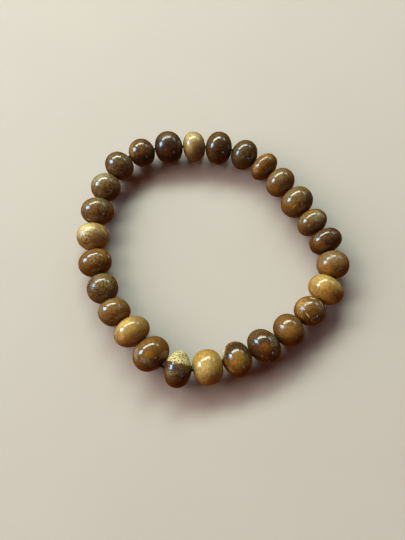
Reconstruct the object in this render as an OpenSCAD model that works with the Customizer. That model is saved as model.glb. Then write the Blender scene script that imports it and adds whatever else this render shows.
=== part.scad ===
// Stretch bracelet of polished wooden beads threaded on an elastic cord. It lies flat as a
// loose closed loop, the way it falls when it is put down. Sizes are in millimetres, +Z is
// up, the largest bead stands on z = 0, and the origin is in the middle of the loop's box.
// The beads are numbered clockwise as seen from above.

/* [Beads] */
// Size of every bead, and with it of the loop, against the sizes in the bead table
bead_scale = 1; // [0.9:0.05:1.2]
// Diameter of the hole drilled through each bead
bore_d = 1.3; // [1.1:0.1:1.8]
// Width of the bevel round each end of the hole
bore_bevel = 0.15; // [0.05:0.05:0.3]
// Clear space between two neighbouring beads where they come closest
clearance = 0.12; // [0.1:0.02:0.4]

/* [Loop] */
// Direction in which the string runs through the first bead, in degrees from +X
first_heading = 175; // [0:1:359]

/* [Elastic cord] */
// Diameter of the elastic cord
cord_d = 0.8; // [0.5:0.1:0.9]

/* [Raw crust] */
// Depth of the raw crust under the polished surface beside it
crust_depth = 0.3; // [0.3:0.05:0.5]
// How far the crust swells back out towards the middle of its patch
crust_bulge = 0.3; // [0:0.05:0.3]

/* [Hidden] */
$fn = 72;

// Every bead has a row of its own, because natural beads are never quite alike.
DIAMETER = 0; // across the bead, square to the string
LENGTH = 1; // from end to end, along the string
BEND = 2; // degrees by which the string turns inwards just before this bead
TONE = 3; // shade of the wood
BEADS = [
    [9.5, 7.1, 17, "dark"],
    [10.1, 8.0, 45, "brown"],
    [9.9, 7.5, -3, "tan"],
    [9.4, 6.8, 1, "brown"],
    [8.7, 8.0, 26, "brown"],
    [9.0, 7.5, -4, "brown"],
    [9.0, 7.8, 22, "tan"],
    [9.3, 7.6, 8, "brown"],
    [8.8, 8.0, 6, "brown"],
    [8.9, 7.6, 23, "brown"],
    [8.3, 7.6, 33, "dark"],
    [9.5, 8.2, 12, "dark"],
    [8.8, 6.6, 9, "tan"],
    [9.8, 7.7, 4, "dark"],
    [8.9, 7.5, 17, "brown"],
    [8.8, 6.1, 23, "brown"],
    [8.9, 7.4, 5, "brown"],
    [9.6, 7.9, 7, "brown"],
    [8.9, 6.8, -1, "brown"],
    [9.3, 6.3, 3, "dark"],
    [8.8, 7.6, 31, "brown"],
    [9.6, 7.0, 37, "tan"],
    [8.5, 7.8, -2, "brown"],
    [9.2, 7.8, 22, "brown"],
    [9.7, 7.8, -4, "dark"],
    [9.4, 7.6, 18, "brown"],
    [9.4, 7.9, 5, "tan"],
];
count = len(BEADS);

// A crust is a patch of raw wood that the polish left on a bead.
CRUST_BEAD = 0; // number of the bead that carries it
CRUST_TURN = 1; // degrees from the loop's inner side towards the next bead
CRUST_LIFT = 2; // degrees by which the patch looks up
CRUST_EDGE = 3; // distance of its edge from the middle of the bead
CRUSTS = [
    [1, 0, 10, 1.4],
    [26, 56, 8, 3.1],
];

SHADES = [
    ["dark", "#3b2412"],
    ["brown", "#5d3f1a"],
    ["tan", "#a8843c"],
];

// Half sizes of a bead
function radius(i) = bead_scale * BEADS[i][DIAMETER] / 2;
function half_length(i) = bead_scale * BEADS[i][LENGTH] / 2;
function next(i) = (i + 1) % count;
function back(i) = (i + count - 1) % count;

// A bead's outline is a four-centre oval set out on a triangle with sides 3, 4 and 5: a flat
// arc over each end of the hole, and a tighter arc round the widest part.
arc_join = 0.6; // sine of the angle from the hole's axis at which the two arcs meet
function end_arc(r, h) = 2 * r - h;
function side_arc(r, h) = (3 * h - r) / 2;

// Distance from a bead's middle to a plane that touches it, where the plane's normal makes
// the given angle with the hole
function touch(r, h, angle) =
    abs(sin(angle)) < arc_join
        ? end_arc(r, h) - (end_arc(r, h) - h) * abs(cos(angle))
        : side_arc(r, h) + (r - side_arc(r, h)) * abs(sin(angle));

// The plane that halves the bend between two beads parts them. The distance along the string
// from a bead's middle to that plane keeps the bead half the clearance away from it.
function to_corner(i, bend) =
    (touch(radius(i), half_length(i), bend / 2) + clearance / 2) / cos(bend / 2);
function run_before(i) = to_corner(i, BEADS[i][BEND]);
function run_after(i) = to_corner(i, BEADS[next(i)][BEND]);
function run(i) = run_before(i) + run_after(i);

// The stretched cord crosses from bead to bead at the height of the larger one's middle, and
// carries the smaller beads clear of the surface.
function corner_height(i) = max(radius(i), radius(back(i)));
function tilt(i) = asin((corner_height(next(i)) - corner_height(i)) / run(i));

// Headings, steps and corners along the string, bead by bead
HEADINGS = [
    for (i = 0, a = first_heading; i < count; i = i + 1, a = a - BEADS[i % count][BEND]) a
];
function along(i) = [
    cos(HEADINGS[i]) * cos(tilt(i)),
    sin(HEADINGS[i]) * cos(tilt(i)),
    sin(tilt(i)),
];
STEPS = [for (i = [0 : count - 1]) run(i) * along(i)];
function total(list, i = 0) = i == len(list) - 1 ? list[i] : list[i] + total(list, i + 1);
// The little that the loop lacks to close is shared out over all its gaps.
closing = -total(STEPS) / count;
RAW_CORNERS = [
    for (
        i = 0, p = [0, 0, corner_height(0)];
        i < count;
        p = p + STEPS[i] + closing, i = i + 1
    ) p
];
RAW_MIDDLES = [
    for (i = [0 : count - 1]) RAW_CORNERS[i] + run_before(i) * along(i) + closing / 2
];

// The middle of the loop's box becomes the origin.
function reach(i, axis) = touch(radius(i), half_length(i), acos(along(i)[axis]));
function box_middle(axis) =
    (
        min([for (i = [0 : count - 1]) RAW_MIDDLES[i][axis] - reach(i, axis)])
        + max([for (i = [0 : count - 1]) RAW_MIDDLES[i][axis] + reach(i, axis)])
    ) / 2;
to_origin = -[box_middle(0), box_middle(1), 0];
CORNERS = [for (p = RAW_CORNERS) p + to_origin];
MIDDLES = [for (p = RAW_MIDDLES) p + to_origin];

// A ring of the cord lies in the plane that halves the bend, and is widened there so that the
// straight stretches on both sides keep their full width.
cord_sides = 12;
function unit(v) = v / norm(v);
function cord_ring(i) =
    let (
        onwards = unit(CORNERS[next(i)] - CORNERS[i]),
        through = unit(unit(CORNERS[i] - CORNERS[back(i)]) + onwards),
        outwards = unit(cross([0, 0, 1], through)),
        upwards = cross(through, outwards),
        widening = 1 / (through * onwards)
    )
    [
        for (k = [0 : cord_sides - 1])
            let (angle = -k * 360 / cord_sides)
                CORNERS[i]
                + cord_d / 2 * (widening * cos(angle) * outwards + sin(angle) * upwards)
    ];

function bead_name(number) = str("bead_", number < 10 ? "0" : "", number);

// Half outline of a bead, with the hole's axis along Y
module half_oval(r, h) {
    end_r = end_arc(r, h);
    side_r = side_arc(r, h);
    join = arc_join * end_r;
    intersection() {
        translate([0, h - end_r]) circle(end_r);
        translate([0, end_r - h]) circle(end_r);
        translate([0, -h]) square([join, 2 * h]);
    }
    intersection() {
        translate([r - side_r, 0]) circle(side_r);
        translate([join, -h]) square([r, 2 * h]);
    }
}

// Half outline of the hole, with the bevels at its two ends
module half_bore(r, h) {
    bore_r = bore_d / 2;
    end_r = end_arc(r, h);
    rim = h - end_r + sqrt(end_r * end_r - bore_r * bore_r);
    bevel_tip = rim - bore_bevel - bore_r;
    mouth = bore_r + 2 * bore_bevel;
    translate([0, -2 * h]) square([bore_r, 4 * h]);
    for (end = [-1, 1])
        polygon([
            [0, end * bevel_tip],
            [mouth, end * (bevel_tip + mouth)],
            [0, end * (bevel_tip + mouth)],
        ]);
}

// Turns a half outline round the hole's axis, and lays that axis along +X
module turn_on_hole() {
    rotate([0, 90, 0]) rotate_extrude() children();
}

// Polished bead. The string runs along +X, the loop's inner side is at -Y, and +Z is up.
module plain_bead(r, h) {
    turn_on_hole()
        difference() {
            half_oval(r, h);
            half_bore(r, h);
        }
}

// Bead with raw crust. Past the edge of the patch the polished body gives way to a smaller
// one, which is pushed back out in the direction that the patch looks.
module crusted_bead(r, h, crust) {
    azimuth = crust[CRUST_TURN] - 90;
    lift = crust[CRUST_LIFT];
    outwards = [cos(lift) * cos(azimuth), cos(lift) * sin(azimuth), sin(lift)];
    difference() {
        union() {
            difference() {
                turn_on_hole() half_oval(r, h);
                rotate([0, 90 - lift, azimuth])
                    translate([0, 0, bead_scale * crust[CRUST_EDGE]])
                        cylinder(h = 2 * r, r = 2 * r);
            }
            translate(crust_bulge * outwards)
                turn_on_hole() half_oval(r - crust_depth, h - crust_depth);
        }
        turn_on_hole() half_bore(r, h);
    }
}

// One bead of the table, in its place on the string
module bead(number) {
    i = number - 1;
    shade = SHADES[search([BEADS[i][TONE]], SHADES)[0]][1];
    patches = [for (crust = CRUSTS) if (crust[CRUST_BEAD] == number) crust];
    color(shade)
        translate(MIDDLES[i])
            rotate([0, -tilt(i), HEADINGS[i]])
                if (len(patches) == 0) plain_bead(radius(i), half_length(i));
                else crusted_bead(radius(i), half_length(i), patches[0]);
}

// Elastic cord: one closed tube that runs straight through each bead and has its rings
// where it bends between two
module elastic_cord() {
    color("#2a211b")
        polyhedron(
            points = [for (i = [0 : count - 1]) each cord_ring(i)],
            faces = [
                for (i = [0 : count - 1], k = [0 : cord_sides - 1])
                    let (after = (k + 1) % cord_sides)
                        [
                            i * cord_sides + k,
                            i * cord_sides + after,
                            next(i) * cord_sides + after,
                            next(i) * cord_sides + k,
                        ]
            ]
        );
}

for (number = [1 : count])
    bead(number);
elastic_cord();
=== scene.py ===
# %% [markdown]
# # A bracelet of polished wooden beads
#
# The real object is a string of 27 beads, turned from small offcuts of a dense brown wood,
# drilled, polished by hand and threaded on a stretch cord. The solids of the frame give each
# bead its place and size. This lesson gives each of them the skin of a real bead: its own wood,
# its knots and rings, its gloss, and the raw crust that the polisher left on two of them.

# %% Load the frame
import math
from collections import namedtuple

import bmesh
import bpy
from mathutils import Matrix, Vector, noise


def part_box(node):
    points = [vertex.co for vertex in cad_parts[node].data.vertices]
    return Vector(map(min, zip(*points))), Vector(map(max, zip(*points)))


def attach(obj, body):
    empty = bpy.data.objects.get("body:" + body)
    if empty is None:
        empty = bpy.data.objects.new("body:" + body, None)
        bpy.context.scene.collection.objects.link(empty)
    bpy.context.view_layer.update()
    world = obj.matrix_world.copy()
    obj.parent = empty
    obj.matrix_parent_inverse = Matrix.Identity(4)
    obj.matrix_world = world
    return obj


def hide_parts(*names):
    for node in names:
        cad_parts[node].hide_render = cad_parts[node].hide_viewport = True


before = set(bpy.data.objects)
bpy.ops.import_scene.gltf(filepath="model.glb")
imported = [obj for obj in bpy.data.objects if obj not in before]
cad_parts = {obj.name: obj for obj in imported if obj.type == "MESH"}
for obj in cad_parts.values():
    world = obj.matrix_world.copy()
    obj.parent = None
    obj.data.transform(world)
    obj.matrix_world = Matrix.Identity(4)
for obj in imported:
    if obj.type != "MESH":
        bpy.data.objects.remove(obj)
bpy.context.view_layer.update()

MM = 0.001
scene = bpy.context.scene
print("nodes in the frame:", len(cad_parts))

# %% [markdown]
# ## Camera
#
# The bracelet lies flat and is seen from above, a little from the front. A camera could
# be placed by eye, but sizes then never match. Here its elevation, its distance and the point
# that it looks at are named values, found by matching the outlines of all the beads.

# %% Camera
LOOKS_AT = Vector((-2.54, -3.99, 0)) * MM
ELEVATION = math.radians(69.5)
DISTANCE = 165.3 * MM
LENS = 39.15

camera = bpy.data.objects.new("camera", bpy.data.cameras.new("camera"))
camera.data.lens = LENS
camera.data.clip_start = 5 * MM
camera.location = LOOKS_AT + DISTANCE * Vector((0, -math.cos(ELEVATION), math.sin(ELEVATION)))
camera.rotation_euler = (math.pi / 2 - ELEVATION, 0, 0)
scene.collection.objects.link(camera)
scene.camera = camera
print("camera stands at", [round(c / MM, 1) for c in camera.location], "mm")

# %% [markdown]
# ## Lights
#
# Polished beads are small mirrors, so each lamp shows on each of them. A lamp can be set by
# its watts, but what the eye compares is how bright it looks, so the helper below takes that
# brightness and works out the watts. A long low strip behind and to the left draws the bright
# streak and does most of the lighting. A cool panel at the left draws the dot beside the
# streak. It would turn every shadow blue, so it only shows in the polish, and a neutral panel
# in its place, which doesn't show there, lights the wood. Two weak small lamps add the faint
# spots at the right.

# %% A lamp that faces the bracelet
def towards(azimuth, elevation):
    """Unit vector in a direction given in degrees. Azimuth 0 is +X, and 90 is +Y."""
    a, e = math.radians(azimuth), math.radians(elevation)
    return Vector((math.cos(e) * math.cos(a), math.cos(e) * math.sin(a), math.sin(e)))


LAMP_DISTANCE = 1.2


def lamp(name, middle, long_side, size, brightness, colour):
    """Adds a flat lamp. Middle and long_side are directions, size is two angles in degrees."""
    width, height = [2 * LAMP_DISTANCE * math.tan(math.radians(a / 2)) for a in size]
    data = bpy.data.lights.new(name, "AREA")
    data.shape = "RECTANGLE"
    data.size, data.size_y = width, height
    data.energy = brightness * math.pi * width * height
    data.color = colour
    back = middle.normalized()
    side = (long_side - long_side.dot(back) * back).normalized()
    turn = Matrix((side, back.cross(side), back)).transposed()
    light = bpy.data.objects.new(name, data)
    light.matrix_world = Matrix.Translation(LAMP_DISTANCE * back) @ turn.to_4x4()
    light.visible_camera = False
    scene.collection.objects.link(light)
    print(f"{name}: {width:.2f} by {height:.2f} m, {data.energy:.1f} W")
    return light


# %% Hang the lamps
strip_left, strip_right = towards(149, 35), towards(74, 36)
lamp(
    "strip",
    middle=strip_left + strip_right,
    long_side=strip_right - strip_left,
    size=(math.degrees(strip_left.angle(strip_right)), 13.5),
    brightness=21,
    colour=(0.82, 1.0, 0.9),
)
cool_panel = lamp(
    "cool_panel",
    middle=towards(173, 27),
    long_side=Vector((0, 1, 0)),
    size=(21, 23),
    brightness=27,
    colour=(0.38, 0.72, 1.0),
)
cool_panel.visible_diffuse = False
side_panel = lamp(
    "side_panel",
    middle=towards(176, 32),
    long_side=Vector((0, 1, 0)),
    size=(45, 40),
    brightness=6,
    colour=(1.0, 0.86, 0.8),
)
side_panel.visible_glossy = False
lamp(
    "far_lamp",
    middle=towards(47, 31),
    long_side=Vector((1, -1, 0)),
    size=(20, 11),
    brightness=7,
    colour=(0.6, 0.85, 1.0),
)
lamp(
    "low_lamp",
    middle=towards(-48, 17),
    long_side=Vector((1, 1, 0)),
    size=(6, 6),
    brightness=10,
    colour=(0.45, 0.75, 1.0),
)

# %% [markdown]
# ## Room and floor
#
# Gloss only looks deep when there is something dim to reflect, so what the beads see of the
# room is a dull, warm brown. The camera itself sees a pale backdrop there, because a Light Path
# node tells its rays from the others. The floor is plain, pale and matt, and takes soft
# shadows. The beads neither mirror it nor take light from it, because that would lay a pale
# veil over the dark wood.

# %% Room
DULL_BROWN = (0.13, 0.034, 0.009, 1)
PALE_BACKDROP = (0.62, 0.58, 0.54, 1)

scene.world = bpy.data.worlds.new("room")
scene.world.use_nodes = True
room = scene.world.node_tree
dull = room.nodes["Background"]
dull.inputs["Color"].default_value = DULL_BROWN
pale = room.nodes.new("ShaderNodeBackground")
pale.inputs["Color"].default_value = PALE_BACKDROP
choice = room.nodes.new("ShaderNodeMixShader")
ray = room.nodes.new("ShaderNodeLightPath")
room.links.new(ray.outputs["Is Camera Ray"], choice.inputs["Fac"])
room.links.new(dull.outputs["Background"], choice.inputs[1])
room.links.new(pale.outputs["Background"], choice.inputs[2])
room.links.new(choice.outputs["Shader"], room.nodes["World Output"].inputs["Surface"])
scene.view_settings.view_transform = "Standard"

# %% Floor
FLOOR_HALF = 1.5

sheet = bmesh.new()
bmesh.ops.create_grid(sheet, x_segments=1, y_segments=1, size=FLOOR_HALF)
floor = bpy.data.objects.new("floor", bpy.data.meshes.new("floor"))
sheet.to_mesh(floor.data)
sheet.free()
scene.collection.objects.link(floor)
floor.visible_glossy = False
floor.visible_diffuse = False
print("floor:", 2 * FLOOR_HALF, "m wide")

# %% [markdown]
# ## Reading the beads
#
# Every bead could be typed in again as a list of places and sizes, but the frame already holds
# them, and a copy would drift from it. A drilled bead's faces look away from its middle,
# except the wall of the hole, which looks back at it. So the hole's wall is easy to find, and
# the string runs from the middle of its one end to the middle of the other.

# %% Measure one bead
Form = namedtuple("Form", "middle along out up length_half radius hole_radius")
END_BAND = 0.02 * MM


def measure(name, way):
    """Sizes in millimetres of a CAD bead, through whose hole the string runs roughly that way."""
    low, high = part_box(name)
    middle = (low + high) / 2
    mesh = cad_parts[name].data
    wall = {
        v
        for face in mesh.polygons
        if (face.center - middle).dot(face.normal) < 0
        for v in face.vertices
    }
    rim = [mesh.vertices[v].co - middle for v in wall]
    fore = [p for p in rim if p.dot(way) > 0]
    aft = [p for p in rim if p.dot(way) < 0]
    fore_end = sum(fore, Vector()) / len(fore)
    aft_end = sum(aft, Vector()) / len(aft)
    along = (fore_end - aft_end).normalized()
    middle = middle + (fore_end + aft_end) / 2
    out = Vector((0, 0, 1)).cross(along).normalized()
    hole_radius = sum((p - fore_end).cross(along).length for p in fore) / len(fore)
    points = [v.co - middle for v in mesh.vertices]
    radius = max(p.cross(along).length for p in points)
    reach = max(abs(p.dot(along)) for p in points)
    mouth = min(p.cross(along).length for p in points if abs(p.dot(along)) > reach - END_BAND)
    # The drill took the very tip of the ball away, and the sag is how high that tip was.
    sag = mouth * mouth / (2 * (2 * radius - reach))
    return Form(
        middle, along, out, along.cross(out), (reach + sag) / MM, radius / MM, hole_radius / MM
    )


def own_axes(form):
    """The turn from a bead's own frame, X along the string and Y outwards, to the loop's."""
    return Matrix((form.along, form.out, form.up)).transposed()


# %% Measure them all
COUNT = len([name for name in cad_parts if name.startswith("bead_")])
NUMBERS = range(1, COUNT + 1)


def bead_name(number):
    """Name of a bead's node. Numbers past the last bead start again at the first."""
    return f"bead_{(number - 1) % COUNT + 1:02d}"


def box_middle(number):
    """Middle of a bead's box."""
    low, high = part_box(bead_name(number))
    return (low + high) / 2


FORMS = {}
for number in NUMBERS:
    FORMS[number] = measure(bead_name(number), box_middle(number + 1) - box_middle(number - 1))
print("largest bead:", round(2 * max(form.radius for form in FORMS.values()), 2), "mm across")
print("hole:", round(2 * FORMS[1].hole_radius, 2), "mm")

# %% [markdown]
# ## Turning a bead
#
# A turner cuts such a bead from a rod and drills it. In Blender a sphere could be squashed and
# cut open, but then its rim is ragged. It is cleaner to draw the outline as three arcs, each
# of them swept from a single point with spin, close it along the wall of the hole, and spin
# that outline once round the hole. A bevel then takes the sharp edge off the hole's two rims.
# The solids in the frame keep a hair's breadth apart. Real beads touch, so the skin reaches
# a little further at each end.

# %% Helpers for turning
def sweep(bm, tip, centre, angle, steps):
    """Draws an arc from a point round a centre in the XY plane, and returns its far end."""
    swept = bmesh.ops.spin(
        bm, geom=[tip], cent=centre, axis=(0, 0, 1), dvec=(0, 0, 0), angle=angle, steps=steps
    )
    return next(g for g in swept["geom_last"] if isinstance(g, bmesh.types.BMVert))


def off_axis(point):
    """Distance of a point from the middle line of the hole."""
    return math.hypot(point.y, point.z)


# %% Turn the whole bead
END_REACH = 0.035
JOIN_SINE = 0.6
END_STEPS = 12
SIDE_STEPS = 22
ROUND_STEPS = 112
WELD = 0.001
RIM_SLACK = 0.01
RIM_BEVEL = 0.16


def turned_bead(form, fineness):
    """A drilled bead in millimetres, its hole along X, as a closed mesh."""
    r, h = form.radius, form.length_half + END_REACH
    # The arcs join without a kink where the sine of their slope is 0.6, if these are their radii.
    end_arc, side_arc = 2 * r - h, (3 * h - r) / 2
    start, join = math.asin(form.hole_radius / end_arc), math.asin(JOIN_SINE)
    bm = bmesh.new()
    rim = bm.verts.new(
        (h - end_arc + end_arc * math.cos(start), end_arc * math.sin(start), 0)
    )
    tip = sweep(bm, rim, (h - end_arc, 0, 0), join - start, END_STEPS * fineness)
    tip = sweep(bm, tip, (0, r - side_arc, 0), math.pi - 2 * join, SIDE_STEPS * fineness)
    tip = sweep(bm, tip, (end_arc - h, 0, 0), join - start, END_STEPS * fineness)
    bm.edges.new((tip, rim))
    bmesh.ops.spin(
        bm,
        geom=bm.verts[:] + bm.edges[:],
        cent=(0, 0, 0),
        axis=(1, 0, 0),
        dvec=(0, 0, 0),
        angle=2 * math.pi,
        steps=ROUND_STEPS * fineness,
        use_merge=True,
    )
    bmesh.ops.remove_doubles(bm, verts=bm.verts[:], dist=WELD)
    bmesh.ops.recalc_face_normals(bm, faces=bm.faces[:])
    rims = [
        e
        for e in bm.edges
        if all(off_axis(v.co) < form.hole_radius + RIM_SLACK for v in e.verts)
        and abs(e.verts[0].co.x - e.verts[1].co.x) < RIM_SLACK
    ]
    bmesh.ops.bevel(
        bm,
        geom=rims,
        offset=RIM_BEVEL,
        offset_type="OFFSET",
        segments=3,
        profile=0.5,
        affect="EDGES",
        material=-1,
    )
    return bm


# %% [markdown]
# ## Hand-made shape
#
# Polishing by hand leaves no bead truly round. A few are slimmer than they are high, and some
# are drilled a little askew, so their outline leans. All of it is small moves of the vertices:
# a lean that grows with the distance from the hole, and slow noise that only ever takes wood
# away, so that no bead sinks into the floor. The ends are left alone, because there
# the neighbours touch.

# %% Make it hand-made
HAND_DEPTH = 0.06
HAND_SIZE = 3.2
END_FLAT = 2.2


def smooth(low, high, value):
    """Rises smoothly from 0 at low to 1 at high."""
    t = min(1.0, max(0.0, (value - low) / (high - low)))
    return t * t * (3 - 2 * t)


def make_by_hand(bm, form, number, wood):
    """Takes up to HAND_DEPTH off in slow waves, and makes the bead slimmer, fuller or askew."""
    seed = Vector((number * 7.1, number * 3.7, 0))
    for v in bm.verts:
        away = smooth(form.hole_radius, END_FLAT, off_axis(v.co))
        worn = 0.5 + 0.5 * noise.noise(v.co / HAND_SIZE + seed)
        v.co -= v.normal * HAND_DEPTH * worn * away
        v.co.y *= 1 - (wood.outer if v.co.y > 0 else wood.inner) * away
        v.co.x *= 1 + wood.full * away * smooth(0, form.radius, off_axis(v.co))
        v.co.x += wood.askew * v.co.y


# %% [markdown]
# ## Raw crust
#
# Two beads keep a patch of the rough outer crust of the wood. It lies a little below the
# polished face, behind a sharp lip, and is riddled with small pits. A bump could fake it, but
# the lip shows in the outline, so it is real relief. The bead is cut by a plane, and the cut is
# then waved along the skin, so that it doesn't look sawn. An inset makes the lip's wall, and
# the patch is subdivided and pushed in. A pointed patch is deepest halfway from its lip to its
# middle. The polished side rounds over towards the lip. Each vertex also notes how deep in a
# pit it lies, and the finish reads that later.

# %% Where the crust is
Crust = namedtuple("Crust", "turn lift edge depth bulge taper")
CRUSTS = {
    1: Crust(turn=-7, lift=10, edge=1.4, depth=0.22, bulge=0.07, taper=0.24),
    26: Crust(turn=62, lift=3, edge=3.6, depth=0.22, bulge=0.2, taper=0),
}
HOLE_MARGIN = 0.25


def clear_of_hole(point, form):
    """Whether a point lies outside the bevelled rim of the hole."""
    return off_axis(point) > form.hole_radius + HOLE_MARGIN


# %% Cut the patch
CUT_SLACK = 0.05
EDGE_BAND = 0.5
EDGE_WAVE = 0.2
EDGE_WAVES_PER_MM = 0.9


def cut_patch(bm, form, crust, way):
    """Cuts the bead along the patch's edge, waves the cut, and returns the faces beyond it."""
    # Vertices within the slack count as cut, so the cut leaves no slivers.
    bmesh.ops.bisect_plane(
        bm,
        geom=bm.verts[:] + bm.edges[:] + bm.faces[:],
        dist=CUT_SLACK,
        plane_co=way * crust.edge,
        plane_no=way,
    )
    patch = [
        f
        for f in bm.faces
        if max(v.co.dot(way) for v in f.verts) > crust.edge + CUT_SLACK
        and clear_of_hole(f.calc_center_median(), form)
    ]
    bm.normal_update()
    for v in bm.verts:
        near = 1 - smooth(0, EDGE_BAND, abs(v.co.dot(way) - crust.edge))
        slide = way - way.dot(v.normal) * v.normal
        v.co += slide * EDGE_WAVE * noise.noise(v.co * EDGE_WAVES_PER_MM) * near
    return patch


# %% Refine the patch
LIP_WIDTH = 0.04


def refine_patch(bm, patch):
    """Makes the lip's wall, gives the patch the second material, and halves its edges."""
    bmesh.ops.inset_region(bm, faces=patch, thickness=LIP_WIDTH, use_even_offset=True)
    for f in patch:
        f.material_index = 1
    edges = {e for f in patch for e in f.edges}
    bmesh.ops.subdivide_edges(bm, edges=list(edges), cuts=1, use_grid_fill=True)


# %% Sink the patch
PIT_GAP = 0.46
PIT_DEPTH = 0.12
PIT_LAYER = "pit"
SHOULDER_WIDTH = 0.9
SHOULDER_DROP = 0.09
CRUMBS = ((0.03, 3.1), (0.015, 9.7))


def pit_at(point):
    """How deep in a pit a point lies, from 0 to 1. The pits are scattered cells."""
    near, cells = noise.voronoi(point / PIT_GAP)
    size = 0.47 + 0.2 * noise.noise(cells[0] * 5.3)
    return 1 - smooth(0.5 * size, size, near[0])


def sink_patch(bm, form, crust, way):
    """Rounds the polished side over towards the lip, and pushes the patch in."""
    # The layer comes first, because adding it makes Blender forget the vertices picked before.
    pits = bm.verts.layers.float.new(PIT_LAYER)
    patch = [f for f in bm.faces if f.material_index == 1]
    sunk_verts = {v for f in patch for v in f.verts}
    bm.normal_update()
    for v in bm.verts:
        from_lip = max(0.0, crust.edge - v.co.dot(way)) / SHOULDER_WIDTH
        if v not in sunk_verts and from_lip < 1 and clear_of_hole(v.co, form):
            v.co -= way * SHOULDER_DROP * (1 - from_lip) ** 2
    lip = crust.edge / form.radius
    for v in sunk_verts:
        faces_out = max(0.0, v.normal.dot(way))
        past_lip = max(0.0, (faces_out - lip) / (1 - lip))
        sunk = crust.depth - crust.bulge * faces_out + crust.taper * 4 * past_lip * (1 - past_lip)
        crumb = sum(height * noise.noise(v.co * per_mm) for height, per_mm in CRUMBS)
        pit = pit_at(v.co)
        v[pits] = pit
        v.co -= v.normal * (sunk + PIT_DEPTH * pit + crumb)
    print("crust patch:", len(patch), "faces")


def add_crust(bm, form, crust):
    """Turns the part of the bead beyond the edge into a sunk, pitted patch."""
    way = towards(crust.turn - 90, crust.lift)
    refine_patch(bm, cut_patch(bm, form, crust, way))
    sink_patch(bm, form, crust, way)


# %% [markdown]
# ## Shader sums
#
# A finish in Blender is a net of nodes, which is hard to read as code. One small class wraps a
# socket that carries a number, so that Python's own signs add the Math nodes: 1 - mask just
# works. A second class builds a material, and has one method for any other node.

# %% Numbers that vary over a surface
class Number:
    """A number that changes over a surface. Python's signs on it add Math nodes."""

    def __init__(self, finish, socket):
        self.finish = finish
        self.socket = socket

    def __add__(self, other):
        return self.finish.sum("ADD", self, other)

    def __sub__(self, other):
        return self.finish.sum("SUBTRACT", self, other)

    def __rsub__(self, other):
        return self.finish.sum("SUBTRACT", other, self)

    def __mul__(self, other):
        return self.finish.sum("MULTIPLY", self, other)

    def __abs__(self):
        return self.finish.sum("ABSOLUTE", self)

    __radd__ = __add__
    __rmul__ = __mul__


# %% A finish under construction
class Finish:
    """A material, with methods that add its nodes."""

    def __init__(self, name):
        self.material = bpy.data.materials.new(name)
        self.material.use_nodes = True
        self.nodes = self.material.node_tree.nodes
        self.links = self.material.node_tree.links
        self.shader = self.nodes["Principled BSDF"]

    def node(self, kind, settings, sockets):
        """Adds a node: its settings come first, then a value or a link for each socket."""
        node = self.nodes.new(kind)
        for name, value in settings.items():
            setattr(node, name, value)
        for name, value in sockets.items():
            self.plug(node.inputs[name], value)
        return node

    def plug(self, socket, value):
        """Links a socket, or sets its value."""
        value = value.socket if isinstance(value, Number) else value
        if isinstance(value, bpy.types.NodeSocket):
            self.links.new(value, socket)
        else:
            socket.default_value = value

    def object_place(self):
        """Object coordinates, in metres."""
        return self.node("ShaderNodeTexCoord", {}, {}).outputs["Object"]

    def noted(self, layer):
        """The outputs that carry what the mesh's vertices note in a layer."""
        return self.node("ShaderNodeAttribute", {"attribute_name": layer}, {}).outputs

    def sum(self, operation, *values):
        """One Math node on numbers or values."""
        node = self.node("ShaderNodeMath", {"operation": operation}, dict(enumerate(values)))
        return Number(self, node.outputs[0])

    def between(self, value, low, high):
        """Rises smoothly from 0 at low to 1 at high, or falls where high is the smaller."""
        sockets = {"Value": value, "From Min": low, "From Max": high}
        node = self.node("ShaderNodeMapRange", {"interpolation_type": "SMOOTHSTEP"}, sockets)
        return Number(self, node.outputs[0])

    def moved(self, place, location=(0, 0, 0), rotation=(0, 0, 0), scale=(1, 1, 1), kind="POINT"):
        """Coordinates moved, turned and scaled. The kind TEXTURE does the reverse."""
        sockets = {"Vector": place, "Location": location, "Rotation": rotation, "Scale": scale}
        return self.node("ShaderNodeMapping", {"vector_type": kind}, sockets).outputs[0]

    def grain(self, place, scale, detail=2.0, roughness=0.5, distortion=0.0):
        """Soft noise around 0.5. The scale is the number of lumps for each unit of place."""
        sockets = {
            "Vector": place,
            "Scale": scale,
            "Detail": detail,
            "Roughness": roughness,
            "Distortion": distortion,
        }
        return Number(self, self.node("ShaderNodeTexNoise", {}, sockets).outputs[0])

    def waves(self, place, gap, distortion):
        """Rings round the X axis that are gap apart. At scale 1 they are a tenth of pi apart."""
        sockets = {
            "Vector": place,
            "Scale": math.pi / (10 * gap),
            "Distortion": distortion,
            "Detail": 1.5,
            "Detail Scale": 0.7,
        }
        settings = {"wave_type": "RINGS", "rings_direction": "X", "wave_profile": "SIN"}
        return Number(self, self.node("ShaderNodeTexWave", settings, sockets).outputs[1])

    def length(self, vector):
        """The length of a vector, as a number."""
        node = self.node("ShaderNodeVectorMath", {"operation": "LENGTH"}, {0: vector})
        return Number(self, node.outputs["Value"])

    def parts(self, vector):
        """The three parts of a vector, as numbers."""
        node = self.node("ShaderNodeSeparateXYZ", {}, {0: vector})
        return [Number(self, socket) for socket in node.outputs]

    def mix(self, share, first, second):
        """Blends two colours, which are sockets 6 and 7 of the node. Share 0 gives the first."""
        sockets = {0: share, 6: first, 7: second}
        return self.node("ShaderNodeMix", {"data_type": "RGBA"}, sockets).outputs[2]

    def shade(self, colour, value):
        """Makes a colour lighter or darker by a factor."""
        sockets = {"Color": colour, "Value": value}
        return self.node("ShaderNodeHueSaturation", {}, sockets).outputs[0]

    def bump(self, height):
        """Relief from a height in millimetres."""
        sockets = {"Height": height, "Distance": MM, "Strength": 1.0}
        return self.node("ShaderNodeBump", {}, sockets).outputs[0]


# %% [markdown]
# ## Floor finish
#
# The floor only has to catch soft shadows. One flat tone would look like paper, so soft noise
# drifts between two close ones.

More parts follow.
